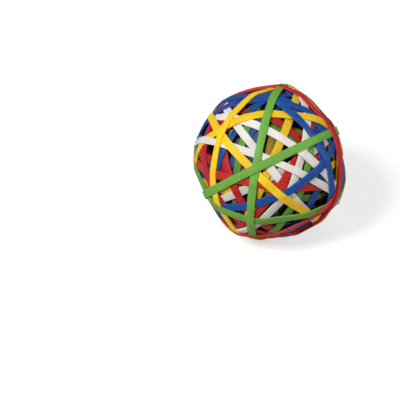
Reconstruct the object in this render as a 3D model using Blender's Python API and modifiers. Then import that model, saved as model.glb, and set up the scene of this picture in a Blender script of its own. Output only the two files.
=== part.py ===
"""A ball wound from coloured rubber bands, standing on its small flat spot.

Each outer band is a closed ring of flat strip and a piece of its own. The bands go on in
order. Every band is pulled tight over what lies beneath it, so it bridges the hollows between
crossings and tilts where only one of its edges is carried.
"""
import math

import bpy
import numpy as np
from mathutils import Vector
from mathutils.bvhtree import BVHTree

MM = 0.001

# Driving dimensions
INNER_BALL_RADIUS = 28.5 * MM
INNER_BALL_FLAT_DEPTH = 2.8 * MM
BAND_WIDTH = 3.6 * MM
BAND_THICKNESS = 0.45 * MM
SEAT_GAP = 0.1 * MM
EDGE_GAP = 0.15 * MM
PRESSED_SAG = 0.8 * MM
FLAT_SPOT_DEPTH = 0.38 * MM

# How the wound ball leans where it comes to rest: degrees about X, then about Y
STANDING_LEAN = (-3.5, -3.0)

# The last bands lie straight between their crossings, and nothing presses them in
TAUT_BANDS = 6

# Fineness of the model. Both counts of places round a ring must be even
INNER_BALL_SUBDIVISIONS = 3
RING_CORNERS = 32
PLACES = 128
SAMPLES_PER_PLACE = 6
LANES = 9
LONGEST_PAIR_OF_SIDES = math.radians(40)
SAG_ANGLE = math.radians(9.5)
TIGHTENING_ROUNDS = 90
STEPS_TO_TIGHTEN = 30

# Rubber: linear colour of each kind of band, and the finish they share
RUBBER_COLOURS = {
    "red": (0.56, 0.035, 0.03),
    "blue": (0.025, 0.09, 0.36),
    "green": (0.13, 0.40, 0.06),
    "yellow": (0.85, 0.55, 0.03),
    "white": (0.85, 0.80, 0.70),
}
INNER_COLOUR = (0.02, 0.018, 0.018)
RUBBER_ROUGHNESS = 0.5

# The bands, innermost first: name, direction that the ring's axis leans to and its lean from
# upright in degrees, and how far the ring slipped along its axis in millimetres
BANDS = (
    ("green_band_37", 31, 17, 0.0),
    ("red_band_38", -33, 39, 0.0),
    ("green_band_39", 61, 65, 0.0),
    ("blue_band_40", 160, 88, 0.0),
    ("red_band_41", -48, 53, 0.0),
    ("yellow_band_42", 70, 90, 0.0),
    ("blue_band_43", -29, 35, 0.0),
    ("blue_band_01", -43, 72, 0.0),
    ("green_band_02", -26, 85, 0.0),
    ("red_band_03", -21, 50, 0.0),
    ("blue_band_04", -74, 36, 0.0),
    ("green_band_05", -87, 53, 2.0),
    ("blue_band_06", 140, 81, 0.0),
    ("white_band_07", 143, 36, 0.0),
    ("red_band_08", -18, 56, 0.0),
    ("green_band_09", -160, 63, 0.0),
    ("yellow_band_10", 120, 19, 0.0),
    ("red_band_11", 58, 74, 0.0),
    ("blue_band_12", -46, 88, 0.5),
    ("yellow_band_13", 168, 71, 0.0),
    ("red_band_14", 175, 54, 0.0),
    ("red_band_15", 56, 26, 0.0),
    ("red_band_16", 73, 23, -2.0),
    ("red_band_17", -38, 47, -0.5),
    ("blue_band_18", 65, 89, 4.0),
    ("white_band_19", -163, 53, 6.5),
    ("white_band_20", 21, 57, 1.0),
    ("white_band_21", 57, 62, 0.5),
    ("blue_band_22", -100, 89, 0.6),
    ("yellow_band_23", 97, 71, 1.5),
    ("white_band_24", 62, 49, -4.1),
    ("blue_band_25", -141, 65, 0.4),
    ("blue_band_26", 179, 22, 4.0),
    ("yellow_band_27", 20, 46, -0.5),
    ("blue_band_28", 53, 90, 0.0),
    ("yellow_band_29", -43, 73, 1.5),
    ("green_band_30", -60, 11, -2.0),
    ("green_band_31", 166, 88, -0.6),
    ("yellow_band_35", -119, 58, 0.1),
    ("red_band_36", -104, 53, 0.0),
    ("green_band_32", 129, 44, -0.5),
    ("red_band_33", -102, 43, 5.5),
    ("red_band_34", -118, 66, 0.0),
)


def clear_scene():
    for item in list(bpy.data.objects):
        bpy.data.objects.remove(item)


def new_collection(name):
    collection = bpy.data.collections.new(name)
    bpy.context.scene.collection.children.link(collection)
    return collection


def move_to(collection, item):
    for owner in list(item.users_collection):
        owner.objects.unlink(item)
    collection.objects.link(item)


def rubber(name, colour):
    """The material of one kind of band, made once."""
    material = bpy.data.materials.get(name)
    if material is None:
        material = bpy.data.materials.new(name)
        material.use_nodes = True
        shader = material.node_tree.nodes["Principled BSDF"]
        shader.inputs["Base Color"].default_value = (*colour, 1.0)
        shader.inputs["Roughness"].default_value = RUBBER_ROUGHNESS
        shader.inputs["Metallic"].default_value = 0.0
        material.diffuse_color = (*colour, 1.0)
    return material


def inner_ball(collection):
    """The ball of older bands, packed so closely that it acts as one piece, pressed flat below."""
    bpy.ops.mesh.primitive_ico_sphere_add(
        subdivisions=INNER_BALL_SUBDIVISIONS, radius=INNER_BALL_RADIUS
    )
    ball = bpy.context.active_object
    for vertex in ball.data.vertices:
        vertex.co.z = max(vertex.co.z, INNER_BALL_FLAT_DEPTH - INNER_BALL_RADIUS)
    ball.name = "inner_bands"
    ball.data.name = ball.name
    ball.data.shade_smooth()
    ball.data.materials.append(rubber("rubber_inner", INNER_COLOUR))
    move_to(collection, ball)
    return ball


class Winding:
    """All surfaces wound so far, which the next band is pulled down on."""

    def __init__(self):
        self.points = []
        self.faces = []

    def add(self, piece):
        """Takes up a piece's finished surface."""
        mesh = evaluated_mesh(piece)
        first = len(self.points)
        self.points.extend(vertex.co.copy() for vertex in mesh.vertices)
        self.faces.extend([first + corner for corner in face.vertices] for face in mesh.polygons)

    def tree(self):
        return BVHTree.FromPolygons(self.points, self.faces)


def evaluated_mesh(piece):
    bpy.context.view_layer.update()
    depsgraph = bpy.context.evaluated_depsgraph_get()
    return piece.evaluated_get(depsgraph).to_mesh()


def ring_axes(direction, lean):
    """The axis of a ring and two directions across it, at right angles."""
    turn = math.radians(direction)
    tilt = math.radians(lean)
    axis = Vector((math.sin(tilt) * math.cos(turn), math.sin(tilt) * math.sin(turn), math.cos(tilt)))
    first = axis.orthogonal().normalized()
    return axis, first, axis.cross(first)


def outward(axes, angle):
    """The direction that leads away from a ring's axis at an angle round it."""
    return axes[1] * math.cos(angle) + axes[2] * math.sin(angle)


def radii_beneath(tree, axes, slip):
    """Distance from the ring's axis to the surface beneath, by sample round the ring and lane."""
    reach = 2.0 * INNER_BALL_RADIUS
    half = BAND_WIDTH / 2 + EDGE_GAP
    radii = np.zeros((PLACES * SAMPLES_PER_PLACE, LANES))
    for sample in range(len(radii)):
        away = outward(axes, 2 * math.pi * (sample + 0.5) / len(radii))
        for lane in range(LANES):
            sideways = slip + half * (2 * lane / (LANES - 1) - 1)
            distance = tree.ray_cast(axes[0] * sideways + away * reach, -away)[3]
            radii[sample, lane] = reach - distance
    return np.maximum(np.maximum(np.roll(radii, 1, axis=0), np.roll(radii, -1, axis=0)), radii)


def sides_of(corners):
    """Angle of each side that starts at a corner, with corners given as places round the ring."""
    return 2 * math.pi * ((np.roll(corners, -1) - corners) % PLACES) / PLACES


def straight_between(before, after, angle_before, angle_after):
    """One over the radius on the straight line between two corners, seen from one between them."""
    return (before * np.sin(angle_after) + after * np.sin(angle_before)) / np.sin(angle_before + angle_after)


def pull_tight(radii, corners, sag):
    """One over the radius of the strip's two edges at every corner, once it is pulled tight.

    A straight side is linear in one over the radius, so the work is done in that measure. Each
    corner sinks until the strip rests on something or hangs in by the sag between its neighbours.
    """
    angles = sides_of(corners)
    counts = np.roll(corners, -1) - corners
    counts = (counts % PLACES) * SAMPLES_PER_PLACE
    side = np.repeat(np.arange(len(corners)), counts)
    starts = np.concatenate([[0], np.cumsum(counts)[:-1]])
    part = (np.arange(len(side)) - starts[side] + 0.5) / counts[side]
    near = np.sin((1 - part) * angles[side]) / np.sin(angles[side])
    far = np.sin(part * angles[side]) / np.sin(angles[side])
    lane_place = np.linspace(-1, 1, LANES) * (BAND_WIDTH / 2 + EDGE_GAP) / BAND_WIDTH + 0.5
    share = np.stack([1 - lane_place, lane_place]).clip(0, 1)
    weight = share.clip(1e-6, None)
    limit = np.roll(1 / (radii + SEAT_GAP), -corners[0] * SAMPLES_PER_PLACE, axis=0)
    inverse = np.full((2, len(corners)), limit.min() * math.cos(angles.max() / 2))
    stride = (limit.max() - limit.min()) / STEPS_TO_TIGHTEN
    before = np.roll(angles, 1)
    hollow = sag * limit.mean() ** 2 * before * angles / SAG_ANGLE**2
    for _ in range(TIGHTENING_ROUNDS):
        for edge in (0, 1):
            for parity in (0, 1):
                ends = np.roll(inverse, -1, axis=1)
                edges = inverse[:, side] * near + ends[:, side] * far
                slack = ((limit - edges.T @ share) / weight[edge]).min(axis=1)
                ahead = np.minimum.reduceat(slack / near, starts)
                behind = np.minimum.reduceat(slack / far, starts)
                room = np.minimum(ahead, np.roll(behind, 1)).clip(0, stride)
                row = inverse[edge]
                straight = straight_between(np.roll(row, 1), np.roll(row, -1), before, angles)
                room = np.minimum(room, (straight - row + hollow).clip(0, None))
                row[parity::2] += room[parity::2]
    return inverse


def telling_corners(inverse):
    """The places where the finely tightened strip bends most, as many as a ring has corners."""
    corners = np.arange(PLACES)
    while len(corners) > RING_CORNERS:
        angles = sides_of(corners)
        rows = inverse[:, corners]
        straight = straight_between(np.roll(rows, 1, axis=1), np.roll(rows, -1, axis=1), np.roll(angles, 1), angles)
        bend = np.abs(rows - straight).max(axis=0)
        bend[np.roll(angles, 1) + angles > LONGEST_PAIR_OF_SIDES] = np.inf
        corners = np.delete(corners, bend.argmin())
    return corners


def wound_band(name, axes, slip, corners, edge_radii, collection):
    """One band: an open strip between its two edges, thickened outwards."""
    points = []
    for corner, place in enumerate(corners):
        away = outward(axes, 2 * math.pi * place / PLACES)
        for edge, side in enumerate((-BAND_WIDTH / 2, BAND_WIDTH / 2)):
            points.append(axes[0] * (slip + side) + away * float(edge_radii[edge, corner]))
    faces = []
    for corner in range(RING_CORNERS):
        here = 2 * corner
        ahead = 2 * ((corner + 1) % RING_CORNERS)
        faces.append((here, ahead, ahead + 1, here + 1))
    mesh = bpy.data.meshes.new(name)
    mesh.from_pydata(points, [], faces)
    colour = name.split("_")[0]
    mesh.materials.append(rubber("rubber_" + colour, RUBBER_COLOURS[colour]))
    band = bpy.data.objects.new(name, mesh)
    collection.objects.link(band)
    thicken = band.modifiers.new("thickness", "SOLIDIFY")
    thicken.thickness = BAND_THICKNESS
    thicken.offset = 1.0
    thicken.use_even_offset = True
    return band


def wind_ball(collection):
    """Winds every band in turn over the inner ball and returns all pieces."""
    pieces = [inner_ball(collection)]
    winding = Winding()
    winding.add(pieces[0])
    for index, (name, direction, lean, slip) in enumerate(BANDS):
        axes = ring_axes(direction, lean)
        sag = PRESSED_SAG if index < len(BANDS) - TAUT_BANDS else 0.0
        radii = radii_beneath(winding.tree(), axes, slip * MM)
        corners = telling_corners(pull_tight(radii, np.arange(PLACES), sag))
        edge_radii = 1 / pull_tight(radii, corners, sag)
        pieces.append(wound_band(name, axes, slip * MM, corners, edge_radii, collection))
        winding.add(pieces[-1])
    return pieces, np.array(winding.points)


def stand_up(pieces, points, guides):
    """Leans the ball as it rests and puts the middle of its footprint on the origin."""
    stand = bpy.data.objects.new("ball_centre", None)
    guides.objects.link(stand)
    stand.rotation_euler = (math.radians(STANDING_LEAN[0]), math.radians(STANDING_LEAN[1]), 0)
    leaning = points @ np.array(stand.rotation_euler.to_matrix()).T
    low = leaning.min(axis=0)
    middle = (low + leaning.max(axis=0)) / 2
    stand.location = (-middle[0], -middle[1], -low[2] - FLAT_SPOT_DEPTH)
    for piece in pieces:
        piece.parent = stand


def press_flat(pieces, guides):
    """Cuts the lowest bands level where the ball's weight presses them on the table."""
    side = 4 * INNER_BALL_RADIUS
    bpy.ops.mesh.primitive_cube_add(size=side, location=(0, 0, -side / 2))
    table = bpy.context.active_object
    table.name = "table"
    table.hide_render = True
    table.display_type = "WIRE"
    move_to(guides, table)
    for piece in pieces:
        surface = evaluated_mesh(piece)
        if min((piece.matrix_world @ vertex.co).z for vertex in surface.vertices) < 0:
            press = piece.modifiers.new("flat_spot", "BOOLEAN")
            press.operation = "DIFFERENCE"
            press.solver = "EXACT"
            press.object = table


def main():
    clear_scene()
    parts = new_collection("rubber_band_ball")
    guides = new_collection("guides")
    pieces, points = wind_ball(parts)
    stand_up(pieces, points, guides)
    press_flat(pieces, guides)
    bpy.context.view_layer.update()


main()
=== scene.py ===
"""Looks of the rubber band ball: every band wound again in fine detail, and the studio round it.

The bands go on one by one, the innermost first. Each one is stretched over a height map of all
that lies beneath it, bridges the hollows, presses a little into what carries it, and is added
to the map for the next one. Lengths are in metres.
"""
import math

import bpy
import numpy as np
from mathutils import Euler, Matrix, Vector


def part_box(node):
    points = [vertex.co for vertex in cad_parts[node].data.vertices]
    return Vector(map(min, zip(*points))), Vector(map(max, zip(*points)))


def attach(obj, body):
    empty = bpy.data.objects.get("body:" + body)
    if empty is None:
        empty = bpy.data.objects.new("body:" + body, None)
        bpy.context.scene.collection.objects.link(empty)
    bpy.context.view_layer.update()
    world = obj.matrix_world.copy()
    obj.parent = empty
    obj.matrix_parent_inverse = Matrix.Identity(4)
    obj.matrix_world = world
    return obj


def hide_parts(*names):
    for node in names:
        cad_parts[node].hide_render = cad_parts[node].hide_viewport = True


MM = 0.001
SEED = 7
TINY = 1e-9

# The strip of a band as it lies on the ball. Its edges stand a little higher than its middle.
# Its sides wander and its width wavers in a few waves, so many of them round the ring.
BAND_WIDTH = 3.45 * MM
BAND_THICKNESS = 0.82 * MM
WIDTH_SPREAD = 0.07
CORNER_RADIUS = 0.13 * MM
CORNER_STEPS = 2
EDGE_LIFT = 0.05 * MM
SIDE_WANDER = 0.16 * MM
SIDE_WAVES = (2, 3, 4, 5)
EDGE_WAVER = 0.05 * MM
EDGE_WAVES = (6, 9, 13, 17)

# How ball and camera lean against the way the ball was first wound, so that it rests on a spot
# that carries it, as in the CAD model: degrees about X, then about Y
STANDING_LEAN = (-3.5, -3.0)

# The heart, painted near-black as the shade deep between the bands, where alone it shows: its radius
# here and in the CAD model, how deep it is pressed flat below, and the ripple that it has instead of a
# bare sphere
CORE_RADIUS = 28.1 * MM
CAD_HEART_RADIUS = 28.5 * MM
CORE_FLAT_DEPTH = 3.2 * MM
CORE_SUBDIVISIONS = 5
CORE_RIPPLE = 0.25 * MM
RIPPLE_RATES = (900, 1100, 1000)

# Two lumps under the bands, where the photograph's outline stands out: how far to the right and
# up from the middle as the camera sees them, their height and how far they spread
LUMPS = ((0.90, 0.43), (0.69, -0.73))
LUMP_HEIGHT = 1.4 * MM
LUMP_SPREAD = math.radians(14)

# How deep a band presses into a surface that carries all of it, and how firmly it resists a twist
PRESS_DEPTH = 0.07 * MM
TWIST_STIFFNESS = 0.02

# The search for the balance of pull and support: the radius at which it first looks for what
# carries a band, the percentile that it starts from, its rounds, and its steps
FIRST_RADIUS = CORE_RADIUS * 1.1
CARRIER_ROUNDS = 2
START_PERCENTILE = 90
TIGHTENING_ROUNDS = 14
LONGEST_STEP = 0.6 * MM
STEP_SHARE = 0.8

# Fineness: cells along each side of the height map's faces, how far from its middle a band is
# looked for there in widths, stations round an outer and an oldest band, and lanes across it
MAP_CELLS = 360
MAP_REACH = 0.75
OUTER_STATIONS = 240
INNER_STATIONS = 180
LANES = 9

# Oldest bands, which the CAD model has as one piece: evenly spread ones first, then those seen
# in the gaps of the photograph, as colour, direction that the ring's axis leans to and its lean
# from upright in degrees. The deeper a band lies, the darker painted shade makes its colour.
SPREAD_BANDS = 30
SPREAD_SLIP = 2.2 * MM
SPREAD_DEPTH_SHADE = 1.85
SPREAD_COLOURS = ("red", "green", "blue", "white", "yellow", "red", "green", "blue")
OLDEST_DEPTH_SHADE = 1.3
OLDEST_BANDS = (
    ("red", -45, 71),
    ("green", -50, 41),
    ("yellow", 81, 68),
    ("yellow", 85, 62),
    ("green", 149, 86),
    ("yellow", 173, 83),
    ("green", -175, 86),
    ("green", -179, 41),
    ("green", -78, 86),
)

# The bands of the CAD model, innermost first as the photograph shows them: name, direction that
# the ring's axis leans to and its lean from upright in degrees, and slip along that axis in
# millimetres. A band's painted depth shade is this power of the share of bands still to come over it.
DEPTH_SHADE_POWER = 1.5
BANDS = (
    ("green_band_37", 31, 17, 0.0),
    ("red_band_38", -33, 39, 0.0),
    ("green_band_39", 61, 65, 0.0),
    ("blue_band_40", 160, 88, 0.0),
    ("red_band_41", -48, 53, 0.0),
    ("yellow_band_42", 70, 90, 0.0),
    ("blue_band_43", -29, 35, 0.0),
    ("red_band_11", 58, 74, 0.0),
    ("blue_band_01", -43, 72, 0.0),
    ("red_band_15", 56, 26, 0.0),
    ("blue_band_06", 140, 81, 0.0),
    ("green_band_02", -26, 85, 0.0),
    ("red_band_03", -21, 50, 0.0),
    ("blue_band_04", -74, 36, 0.0),
    ("green_band_05", -87, 53, 2.0),
    ("yellow_band_10", 120, 19, 0.0),
    ("white_band_07", 143, 36, 0.0),
    ("red_band_08", -18, 56, 0.0),
    ("green_band_09", -160, 63, 0.0),
    ("blue_band_12", -46, 88, 0.5),
    ("blue_band_25", -141, 65, 0.4),
    ("yellow_band_13", 168, 71, 0.0),
    ("red_band_36", -104, 53, 0.0),
    ("white_band_20", 21, 57, 1.0),
    ("red_band_14", 175, 54, 0.0),
    ("red_band_16", 73, 23, -2.0),
    ("red_band_17", -38, 47, -0.5),
    ("blue_band_18", 65, 89, 4.0),
    ("white_band_19", -163, 53, 5.8),
    ("white_band_21", 57, 62, 0.5),
    ("blue_band_22", -100, 89, 0.6),
    ("yellow_band_23", 97, 71, 1.5),
    ("white_band_24", 62, 49, -4.1),
    ("blue_band_26", 179, 22, 4.0),
    ("yellow_band_27", 20, 46, -0.5),
    ("blue_band_28", 53, 90, 0.0),
    ("yellow_band_29", -43, 73, 1.5),
    ("green_band_30", -60, 11, -2.0),
    ("yellow_band_35", -119, 58, 0.1),
    ("red_band_33", -104, 43, 5.2),
    ("green_band_31", 166, 88, -0.6),
    ("green_band_32", 129, 44, -0.5),
    ("red_band_34", -118, 66, 0.0),
)

# Where a band slips down among its neighbours: how far to the right and up as the camera sees it,
# by how many millimetres, and over how many degrees to either side
TUCKS = (
    ("red_band_33", -0.95, 0.15, 1.6, 40),
    ("red_band_33", 0.87, 0.45, 0.5, 40),
    ("yellow_band_35", -0.35, 0.94, 1.0, 40),
    ("yellow_band_35", 0.45, -0.85, 2.4, 40),
    ("yellow_band_23", -0.60, -0.72, 1.2, 40),
    ("green_band_31", -0.20, -0.98, 2.2, 20),
)

# Rubber colours in sRGB, 0 to 255, as they look in plain light
RUBBER = {
    "red": (192, 20, 26),
    "blue": (12, 76, 152),
    "green": (104, 160, 58),
    "yellow": (240, 194, 24),
    "white": (228, 224, 217),
}

# Patterns on the rubber, as scale and detail: lines along the band, blotches and dust. The lines
# are drawn in a space that goes once round with the band and is finer across it.
LINES = (1.6, 4.0)
BLOTCHES = (140.0, 3.0)
DUST = (1500.0, 2.0)
LINE_SPACE = (2.0, 2.0, 6.0)

# How much each of them, a band's own tint and its painted depth shade change the brightness, and the
# hue
BLOTCH_SHADE = 0.5
LINE_SHADE = 0.45
TINT_SHADE = 0.08
TINT_HUE = 0.006
DEPTH_SHADE_STRENGTH = 0.5

# The pale bloom in linear colour: where it begins towards a cut edge, in half widths, and how
# strong it is there and in the dust
BLOOM = (0.80, 0.78, 0.74)
EDGE_START = 0.9
EDGE_BLOOM = 0.18
DUST_BLOOM = 0.2

# The rubber's shine and relief
SPECULAR = 0.22
ROUGHNESS = 0.42
BLOTCH_ROUGHNESS = 0.25
RELIEF_STRENGTH = 0.5
RELIEF_DEPTH = 0.04 * MM
DUST_RELIEF = 0.4

# The heart's look, near-black as painted shade: grain, darkest and palest linear colour, and roughness
HEART_GRAIN = 300.0
HEART_PAINTED_SHADES = ((0.004, 0.004, 0.005), (0.03, 0.02, 0.016))
HEART_ROUGHNESS = 0.9

# The pale floor and the surroundings, both brighter to the camera than they shine on the ball
FLOOR_SIDE = 6.0
FLOOR_SHADE = 0.55
FLOOR_ROUGHNESS = 0.8
FLOOR_GLOW = 0.60
AMBIENT = 0.12
BACKDROP = 1.0

# Round lamps: name, place, width and power in watts
LAMPS = (
    ("key", (-0.50, -0.40, 0.72), 0.35, 8.4),
    ("side", (0.72, -0.10, 0.45), 0.4, 2.8),
    ("back", (0.10, 0.60, 0.80), 0.4, 0.8),
)

# Camera: where the photograph has the ball, in pixels of its 400 by 400 frame, how long its lens
# is in such pixels, how far off it stands, and how steeply it looks down in degrees
IMAGE_SIDE = 400
SENSOR = 36.0
BALL_PIXEL = (269.2, 163.1)
FOCAL_PIXELS = 1330.0
CAMERA_DISTANCE = 0.60
CAMERA_ELEVATION = 35.0


def linear(colour):
    """An sRGB colour, 0 to 255, as the linear one that Blender works in."""
    parts = np.array(colour, float) / 255
    return tuple(np.where(parts <= 0.04045, parts / 12.92, ((parts + 0.055) / 1.055) ** 2.4))


def standing_turn():
    """The turn from the way the ball was wound to the way it stands."""
    return Euler([math.radians(angle) for angle in (*STANDING_LEAN, 0)]).to_matrix()


def seen_from_camera(right, up):
    """A direction across the photograph's line of sight, before the ball leans."""
    rise = math.radians(CAMERA_ELEVATION)
    return Vector((right, up * math.sin(rise), up * math.cos(rise)))


def ring_axes(direction, lean):
    """The axis of a ring and two directions across it, at right angles, as rows."""
    turn = math.radians(direction)
    tilt = math.radians(lean)
    axis = Vector((math.sin(tilt) * math.cos(turn), math.sin(tilt) * math.sin(turn), math.cos(tilt)))
    axis = standing_turn() @ axis
    first = axis.orthogonal().normalized()
    return np.array([axis, first, axis.cross(first)])


class HeightMap:
    """Distance from the ball's centre to its surface, on the six faces of a cube."""

    def __init__(self):
        steps = ((np.arange(MAP_CELLS) + 0.5) / MAP_CELLS * 2 - 1) * math.pi / 4
        across, up = np.meshgrid(np.tan(steps), np.tan(steps), indexing="ij")
        faces = []
        for axis in range(3):
            for sign in (1.0, -1.0):
                face = np.empty((MAP_CELLS, MAP_CELLS, 3))
                face[..., axis] = sign
                face[..., (axis + 1) % 3] = across
                face[..., (axis + 2) % 3] = up
                faces.append(face)
        directions = np.array(faces)
        directions /= np.linalg.norm(directions, axis=-1, keepdims=True)
        self.directions = directions.reshape(-1, 3)
        downwards = np.maximum(-self.directions[:, 2], TINY)
        self.heights = np.minimum(CORE_RADIUS, (CORE_RADIUS - CORE_FLAT_DEPTH) / downwards)
        for right, up in LUMPS:
            towards = np.array(standing_turn() @ seen_from_camera(right, up))
            away = np.arccos(np.clip(self.directions @ towards / np.linalg.norm(towards), -1, 1))
            self.heights += LUMP_HEIGHT * np.exp(-((away / LUMP_SPREAD) ** 2))

    def at(self, points):
        """The height in the direction of each point."""
        axis = np.abs(points).argmax(axis=-1)
        main, across, up = (
            np.take_along_axis(points, ((axis + turn) % 3)[..., None], -1)[..., 0]
            for turn in range(3)
        )
        face = axis * 2 + (main < 0)
        cells = []
        for side in (across, up):
            place = np.arctan(side / np.abs(main)) * 4 / math.pi
            cells.append(np.clip((place + 1) / 2 * MAP_CELLS, 0, MAP_CELLS - 1).astype(int))
        return self.heights[(face * MAP_CELLS + cells[0]) * MAP_CELLS + cells[1]]

    def cover(self, band):
        """Raises the map to a band's outer side wherever the band lies."""
        along_axis = self.directions @ band.axes[0]
        reach = (abs(band.slip) + MAP_REACH * band.width) / band.edges.mean()
        near = np.nonzero(np.abs(along_axis) < reach)[0]
        away = np.sqrt(1 - along_axis[near] ** 2)
        turn = np.arctan2(self.directions[near] @ band.axes[2], self.directions[near] @ band.axes[1])
        centre, slope, middle, half = band.profile_at(turn)
        rise = (centre - slope * middle) / (away - slope * along_axis[near])
        under = np.abs(rise * along_axis[near] - middle) < half
        covered = near[under]
        self.heights[covered] = np.maximum(self.heights[covered], rise[under])


class Band:
    """One closed band: the ring it runs in, and the radius of its edges all the way round."""

    def __init__(self, axes, slip, depth_shade, stations, dice):
        self.axes = axes
        self.slip = slip
        self.depth_shade = depth_shade
        self.stations = stations
        self.edges = None
        self.width = BAND_WIDTH * (1 + WIDTH_SPREAD * dice.uniform(-1, 1))
        self.turns = 2 * math.pi * np.arange(stations) / stations
        self.middle = slip + slow_waves(self.turns, dice, SIDE_WAVES, SIDE_WANDER)
        self.half = self.width / 2 + slow_waves(self.turns, dice, EDGE_WAVES, EDGE_WAVER)
        self.tint = dice.uniform(-1, 1)

    def outwards(self):
        """The direction away from the ring's axis at each station."""
        return np.cos(self.turns)[:, None] * self.axes[1] + np.sin(self.turns)[:, None] * self.axes[2]

    def stretch_over(self, surface):
        """Finds the radius of both edges where the band's pull and what carries it balance.

        A ring of radius r pulls inwards evenly, and any bend in it pulls too. Each lane that is
        carried pushes back by how deep it is pressed in.
        """
        places = np.linspace(0, 1, LANES)
        sideways = self.middle[:, None] + self.half[:, None] * (2 * places - 1)
        carried = np.full(sideways.shape, FIRST_RADIUS)
        for _ in range(CARRIER_ROUNDS):
            points = self.outwards()[:, None] * carried[..., None] + self.axes[0] * sideways[..., None]
            carried = np.sqrt(np.maximum(surface.at(points) ** 2 - sideways**2, TINY))
        self.edges = balance(carried, places)

    def slip_down(self, right, up, depth, spread):
        """Lets the band sink in among its neighbours round one place."""
        towards = np.array((standing_turn() @ seen_from_camera(right, up)).normalized())
        apart = np.arccos(np.clip(self.outwards() @ towards, -1, 1))
        self.edges -= depth * MM * np.exp(-((apart / math.radians(spread)) ** 2))

    def profile_at(self, turn):
        """Radius of the outer side at the middle, its slope, the strip's middle and half width."""
        place = (turn / (2 * math.pi) * self.stations) % self.stations
        before = place.astype(int) % self.stations
        after = (before + 1) % self.stations
        share = place - place.astype(int)
        centre = self.edges.mean(axis=0) + BAND_THICKNESS
        slope = (self.edges[1] - self.edges[0]) / (2 * self.half)
        rows = (centre, slope, self.middle, self.half)
        return [row[before] * (1 - share) + row[after] * share for row in rows]


def slow_waves(turns, dice, counts, size):
    """A smooth closed wander with the given numbers of waves round the ring."""
    total = np.zeros(len(turns))
    for count in counts:
        total += dice.normal() * np.sin(count * turns + dice.uniform(0, 2 * math.pi))
    return total * size / math.sqrt(len(counts) / 2)


def balance(carried, places):
    """The two edges' radii at which a stretched strip rests on what carries it."""
    stations = len(carried)
    step = 2 * math.pi / stations
    radius = carried.mean()
    same = np.eye(stations)
    ahead = np.roll(same, 1, axis=1)
    bend = (2 * same - ahead - ahead.T) / (step**2 * radius)
    twist = TWIST_STIFFNESS * PRESS_DEPTH / (step**2 * radius) * same
    stretch = bend * PRESS_DEPTH / 2 + twist
    tension = np.block([[stretch, -twist], [-twist, stretch]])
    shares = np.stack([1 - places, places])
    weights = shares / len(places)
    edges = np.full((2, stations), np.percentile(carried, START_PERCENTILE))
    for _ in range(TIGHTENING_ROUNDS):
        lanes = np.einsum("ei,el->il", edges, shares)
        pressed = (carried > lanes).astype(float)
        support = [
            [np.diag((pressed * weight * share).sum(axis=1)) for share in shares]
            for weight in weights
        ]
        stiffness = tension + np.block(support) + TINY * np.eye(2 * stations)
        load = [(pressed * carried * weight).sum(axis=1) - PRESS_DEPTH / 2 for weight in weights]
        found = np.linalg.solve(stiffness, np.concatenate(load)).reshape(2, stations)
        edges = edges + STEP_SHARE * np.clip(found - edges, -LONGEST_STEP, LONGEST_STEP)
    return edges


def strip_outline():
    """Rounded outline of the strip: place across in half widths, offset across and height in metres."""
    outline = []
    corners = ((1, True, 0.0), (-1, True, 90.0), (-1, False, 180.0), (1, False, 270.0))
    for side, outer, start in corners:
        for step in range(CORNER_STEPS + 1):
            turn = math.radians(start + 90.0 * step / CORNER_STEPS)
            across = CORNER_RADIUS * (math.cos(turn) - side)
            height = CORNER_RADIUS * math.sin(turn)
            height += BAND_THICKNESS - CORNER_RADIUS if outer else CORNER_RADIUS
            outline.append((side, across, height))
        if side == 1 and outer:
            outline.append((0.0, 0.0, BAND_THICKNESS - EDGE_LIFT))
    return outline


def strip_mesh(bands):
    """Vertices, faces and surface values of several bands together."""
    outline = strip_outline()
    count = len(outline)
    points, lays, tints, depth_shades, faces = [], [], [], [], []
    start = 0
    for band in bands:
        away = band.outwards()
        centre = band.edges.mean(axis=0)
        rise = (band.edges[1] - band.edges[0]) / 2
        length = np.sqrt(band.half**2 + rise**2)
        across = band.axes[0] * (band.half / length)[:, None] + away * (rise / length)[:, None]
        normal = away * (band.half / length)[:, None] - band.axes[0] * (rise / length)[:, None]
        middle = away * centre[:, None] + band.axes[0] * band.middle[:, None]
        for place, offset, height in outline:
            points.append(middle + across * (place * band.half + offset)[:, None] + normal * height)
            side = place + offset / band.half
            lays.append(np.stack([np.cos(band.turns), np.sin(band.turns), side], axis=1))
        tints.append(np.full(count * band.stations, band.tint))
        depth_shades.append(np.full(count * band.stations, band.depth_shade))
        ring = np.arange(band.stations)
        ahead = (ring + 1) % band.stations
        for corner in range(count):
            here = start + corner * band.stations
            there = start + (corner + 1) % count * band.stations
            faces.append(np.stack([here + ring, here + ahead, there + ahead, there + ring], axis=1))
        start += count * band.stations
    return [np.concatenate(rows) for rows in (points, faces, lays, tints, depth_shades)]


def band_piece(name, bands, centre, material):
    """One shown piece made of one or more bands."""
    points, faces, lays, tints, depth_shades = strip_mesh(bands)
    mesh = bpy.data.meshes.new(name)
    points = points + centre
    points[:, 2] = np.maximum(points[:, 2], 0.0)
    mesh.from_pydata(points.tolist(), [], faces.tolist())
    mesh.shade_smooth()
    lay = mesh.attributes.new("lay", "FLOAT_VECTOR", "POINT")
    lay.data.foreach_set("vector", lays.astype(np.float32).ravel())
    for label, values in (("tint", tints), ("depth_shade", depth_shades)):
        attribute = mesh.attributes.new(label, "FLOAT", "POINT")
        attribute.data.foreach_set("value", values.astype(np.float32))
    mesh.materials.append(material)
    piece = bpy.data.objects.new(name, mesh)
    bpy.context.scene.collection.objects.link(piece)
    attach(piece, "root")
    return piece


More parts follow.
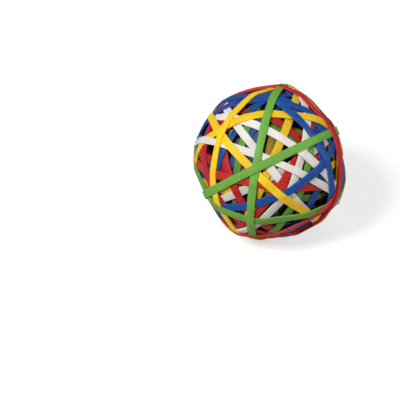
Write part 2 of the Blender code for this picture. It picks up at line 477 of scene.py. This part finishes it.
def rubber_look(name, colour):
    """Rubber cut from an extruded tube: lengthwise lines, blotches, a dusty bloom, paler cut edges."""
    material = bpy.data.materials.new(name)
    material.use_nodes = True
    nodes = material.node_tree.nodes
    links = material.node_tree.links
    shader = nodes["Principled BSDF"]

    def maths(operation, first, second=0.0, clamp=False):
        node = nodes.new("ShaderNodeMath")
        node.operation = operation
        node.use_clamp = clamp
        for socket, value in zip(node.inputs, (first, second)):
            if isinstance(value, (int, float)):
                socket.default_value = value
            else:
                links.new(value, socket)
        return node.outputs[0]

    def around_middle(pattern, size):
        return maths("MULTIPLY", maths("SUBTRACT", pattern, 0.5), size)

    def noise(vector, scale, detail):
        node = nodes.new("ShaderNodeTexNoise")
        node.inputs["Scale"].default_value = scale
        node.inputs["Detail"].default_value = detail
        links.new(vector, node.inputs["Vector"])
        return node.outputs["Fac"]

    def attribute(label, output):
        node = nodes.new("ShaderNodeAttribute")
        node.attribute_name = label
        return node.outputs[output]

    lay = attribute("lay", "Vector")
    tint = attribute("tint", "Fac")
    depth_shade = attribute("depth_shade", "Fac")
    place = nodes.new("ShaderNodeTexCoord").outputs["Object"]
    line_space = nodes.new("ShaderNodeVectorMath")
    line_space.operation = "MULTIPLY"
    line_space.inputs[1].default_value = LINE_SPACE
    links.new(lay, line_space.inputs[0])
    lines = noise(line_space.outputs[0], *LINES)
    blotches = noise(place, *BLOTCHES)
    dust = noise(place, *DUST)

    brightness = maths("ADD", around_middle(blotches, BLOTCH_SHADE), 1.0)
    brightness = maths("ADD", brightness, around_middle(lines, LINE_SHADE))
    brightness = maths("ADD", brightness, maths("MULTIPLY", tint, TINT_SHADE))
    # Painted shade: the deeper a band lies under later ones, the darker its colour
    painted_shade_factor = maths("SUBTRACT", 1.0, maths("MULTIPLY", depth_shade, DEPTH_SHADE_STRENGTH))
    shade = nodes.new("ShaderNodeHueSaturation")
    shade.inputs["Color"].default_value = (*linear(colour), 1.0)
    links.new(maths("MULTIPLY", brightness, painted_shade_factor), shade.inputs["Value"])
    links.new(maths("ADD", maths("MULTIPLY", tint, TINT_HUE), 0.5), shade.inputs["Hue"])

    across = nodes.new("ShaderNodeSeparateXYZ")
    links.new(lay, across.inputs[0])
    edge = maths("SUBTRACT", maths("ABSOLUTE", across.outputs["Z"]), EDGE_START)
    edge = maths("MULTIPLY", edge, EDGE_BLOOM, clamp=True)
    bloom = maths("MULTIPLY", maths("SUBTRACT", dust, 0.5), DUST_BLOOM, clamp=True)
    pale = nodes.new("ShaderNodeMix")
    pale.data_type = "RGBA"
    pale.inputs["B"].default_value = (*BLOOM, 1.0)
    links.new(maths("ADD", bloom, edge, clamp=True), pale.inputs["Factor"])
    links.new(shade.outputs["Color"], pale.inputs["A"])
    links.new(pale.outputs["Result"], shader.inputs["Base Color"])

    rough = maths("ADD", maths("MULTIPLY", blotches, BLOTCH_ROUGHNESS), ROUGHNESS)
    links.new(rough, shader.inputs["Roughness"])
    shader.inputs["Specular IOR Level"].default_value = SPECULAR
    relief = nodes.new("ShaderNodeBump")
    relief.inputs["Strength"].default_value = RELIEF_STRENGTH
    relief.inputs["Distance"].default_value = RELIEF_DEPTH
    links.new(maths("ADD", lines, maths("MULTIPLY", dust, DUST_RELIEF)), relief.inputs["Height"])
    links.new(relief.outputs["Normal"], shader.inputs["Normal"])
    return material


def core_piece(centre):
    """The heart, painted near-black as shade, rippled and pressed flat below."""
    bpy.ops.mesh.primitive_ico_sphere_add(subdivisions=CORE_SUBDIVISIONS, radius=CORE_RADIUS)
    core = bpy.context.active_object
    core.name = "packed_heart"
    for vertex in core.data.vertices:
        wave = sum(math.sin(side * rate) for side, rate in zip(vertex.co, RIPPLE_RATES))
        vertex.co *= 1 + CORE_RIPPLE * wave / len(RIPPLE_RATES) / CORE_RADIUS
        vertex.co.z = max(vertex.co.z, CORE_FLAT_DEPTH - CORE_RADIUS)
        vertex.co += Vector(centre)
    core.data.shade_smooth()
    # Painted shade: the heart is near-black so that the gaps between the bands look shadowed
    material = bpy.data.materials.new("painted_shade_heart_look")
    material.use_nodes = True
    nodes = material.node_tree.nodes
    links = material.node_tree.links
    shader = nodes["Principled BSDF"]
    grain = nodes.new("ShaderNodeTexNoise")
    grain.inputs["Scale"].default_value = HEART_GRAIN
    ramp = nodes.new("ShaderNodeValToRGB")
    for element, shade in zip(ramp.color_ramp.elements, HEART_PAINTED_SHADES):
        element.color = (*shade, 1.0)
    links.new(nodes.new("ShaderNodeTexCoord").outputs["Object"], grain.inputs["Vector"])
    links.new(grain.outputs["Fac"], ramp.inputs["Fac"])
    links.new(ramp.outputs["Color"], shader.inputs["Base Color"])
    shader.inputs["Roughness"].default_value = HEART_ROUGHNESS
    core.data.materials.append(material)
    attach(core, "root")
    return core


def spread_rings():
    """Directions and leans of rings whose axes are spread evenly over the upper half of the ball."""
    golden = math.pi * (3 - math.sqrt(5))
    rings = []
    for index in range(SPREAD_BANDS):
        upright = (index + 0.5) / SPREAD_BANDS
        rings.append((math.degrees(index * golden) % 360, math.degrees(math.acos(upright))))
    return rings


def oldest_bands(surface, dice):
    """The bands under those of the CAD model, by colour, wound over the heart."""
    spread = spread_rings()
    plan = []
    for index, pick in enumerate(dice.permutation(SPREAD_BANDS)):
        colour = SPREAD_COLOURS[index % len(SPREAD_COLOURS)]
        plan.append((colour, *spread[pick], SPREAD_SLIP * dice.normal(), SPREAD_DEPTH_SHADE))
    plan += [(*ring, 0.0, OLDEST_DEPTH_SHADE) for ring in OLDEST_BANDS]
    wound = {colour: [] for colour in RUBBER}
    for colour, direction, lean, slip, depth_shade in plan:
        band = Band(ring_axes(direction, lean), slip, depth_shade, INNER_STATIONS, dice)
        band.stretch_over(surface)
        surface.cover(band)
        wound[colour].append(band)
    return wound


def wind_ball(looks):
    """Makes the heart and every band of the ball, and returns the ball's centre."""
    low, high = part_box("inner_bands")
    centre = np.array((low + high) / 2)
    centre[2] = high[2] - CAD_HEART_RADIUS
    dice = np.random.default_rng(SEED)
    surface = HeightMap()
    core = core_piece(centre)
    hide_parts("inner_bands")
    for colour, bands in oldest_bands(surface, dice).items():
        band_piece(f"oldest_{colour}_bands", bands, centre, looks[colour])
    for index, (name, direction, lean, slip) in enumerate(BANDS):
        colour = name.split("_")[0]
        # Painted shade, darker for bands that more bands will cover
        depth_shade = (1 - index / len(BANDS)) ** DEPTH_SHADE_POWER
        band = Band(ring_axes(direction, lean), slip * MM, depth_shade, OUTER_STATIONS, dice)
        band.stretch_over(surface)
        for tucked, *place in TUCKS:
            if tucked == name:
                band.slip_down(*place)
        surface.cover(band)
        piece = band_piece("wound_" + name, [band], centre, looks[colour])
        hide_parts(name)
    return centre


def pale_floor():
    """The floor, which glows a little to the camera only."""
    bpy.ops.mesh.primitive_plane_add(size=FLOOR_SIDE, location=(0, 0, 0))
    floor = bpy.context.active_object
    floor.name = "floor"
    material = bpy.data.materials.new("pale_floor")
    material.use_nodes = True
    nodes = material.node_tree.nodes
    links = material.node_tree.links
    shader = nodes["Principled BSDF"]
    shader.inputs["Base Color"].default_value = (FLOOR_SHADE, FLOOR_SHADE, FLOOR_SHADE, 1.0)
    shader.inputs["Roughness"].default_value = FLOOR_ROUGHNESS
    shader.inputs["Emission Color"].default_value = (1.0, 1.0, 1.0, 1.0)
    glow = nodes.new("ShaderNodeMath")
    glow.operation = "MULTIPLY"
    glow.inputs[1].default_value = FLOOR_GLOW
    links.new(nodes.new("ShaderNodeLightPath").outputs["Is Camera Ray"], glow.inputs[0])
    links.new(glow.outputs[0], shader.inputs["Emission Strength"])
    floor.data.materials.append(material)


def surroundings():
    """White surroundings, bright to the camera and dim on the ball."""
    world = bpy.data.worlds.new("studio")
    bpy.context.scene.world = world
    world.use_nodes = True
    nodes = world.node_tree.nodes
    links = world.node_tree.links
    background = nodes["Background"]
    background.inputs["Color"].default_value = (1.0, 1.0, 1.0, 1.0)
    level = nodes.new("ShaderNodeMix")
    level.inputs["A"].default_value = AMBIENT
    level.inputs["B"].default_value = BACKDROP
    links.new(nodes.new("ShaderNodeLightPath").outputs["Is Camera Ray"], level.inputs["Factor"])
    links.new(level.outputs["Result"], background.inputs["Strength"])


def hang_lamps(centre):
    """The lamps, all turned towards the ball."""
    for name, place, width, power in LAMPS:
        light = bpy.data.lights.new(name, "AREA")
        light.shape = "DISK"
        light.size = width
        light.energy = power
        lamp = bpy.data.objects.new(name, light)
        lamp.location = place
        lamp.rotation_mode = "QUATERNION"
        lamp.rotation_quaternion = (Vector(centre) - Vector(place)).to_track_quat("-Z", "Y")
        bpy.context.scene.collection.objects.link(lamp)


def photograph_camera(centre):
    """The camera of the photograph, which leans as the ball does."""
    rise = math.radians(CAMERA_ELEVATION)
    lean = standing_turn().to_quaternion()
    back = Vector((0, -math.cos(rise), math.sin(rise)))
    seen = Vector((BALL_PIXEL[0] - IMAGE_SIDE / 2, IMAGE_SIDE / 2 - BALL_PIXEL[1], -FOCAL_PIXELS))
    straight = lean @ (-back).to_track_quat("-Z", "Y")
    camera_data = bpy.data.cameras.new("camera")
    camera_data.sensor_width = SENSOR
    camera_data.lens = FOCAL_PIXELS * SENSOR / IMAGE_SIDE
    camera = bpy.data.objects.new("camera", camera_data)
    camera.location = Vector(centre) + lean @ back * CAMERA_DISTANCE
    camera.rotation_mode = "QUATERNION"
    camera.rotation_quaternion = straight @ seen.normalized().rotation_difference(Vector((0, 0, -1)))
    bpy.context.scene.collection.objects.link(camera)
    bpy.context.scene.camera = camera


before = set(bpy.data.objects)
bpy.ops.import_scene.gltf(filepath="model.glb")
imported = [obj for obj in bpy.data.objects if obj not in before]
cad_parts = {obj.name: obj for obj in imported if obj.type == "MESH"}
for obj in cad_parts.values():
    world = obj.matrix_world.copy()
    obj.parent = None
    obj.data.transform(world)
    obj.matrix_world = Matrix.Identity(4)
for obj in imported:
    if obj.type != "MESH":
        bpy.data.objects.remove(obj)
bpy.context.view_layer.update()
looks = {colour: rubber_look(f"rubber_{colour}_look", shade) for colour, shade in RUBBER.items()}
ball_centre = wind_ball(looks)
pale_floor()
surroundings()
hang_lamps(ball_centre)
photograph_camera(ball_centre)
bpy.context.scene.view_settings.view_transform = "Standard"
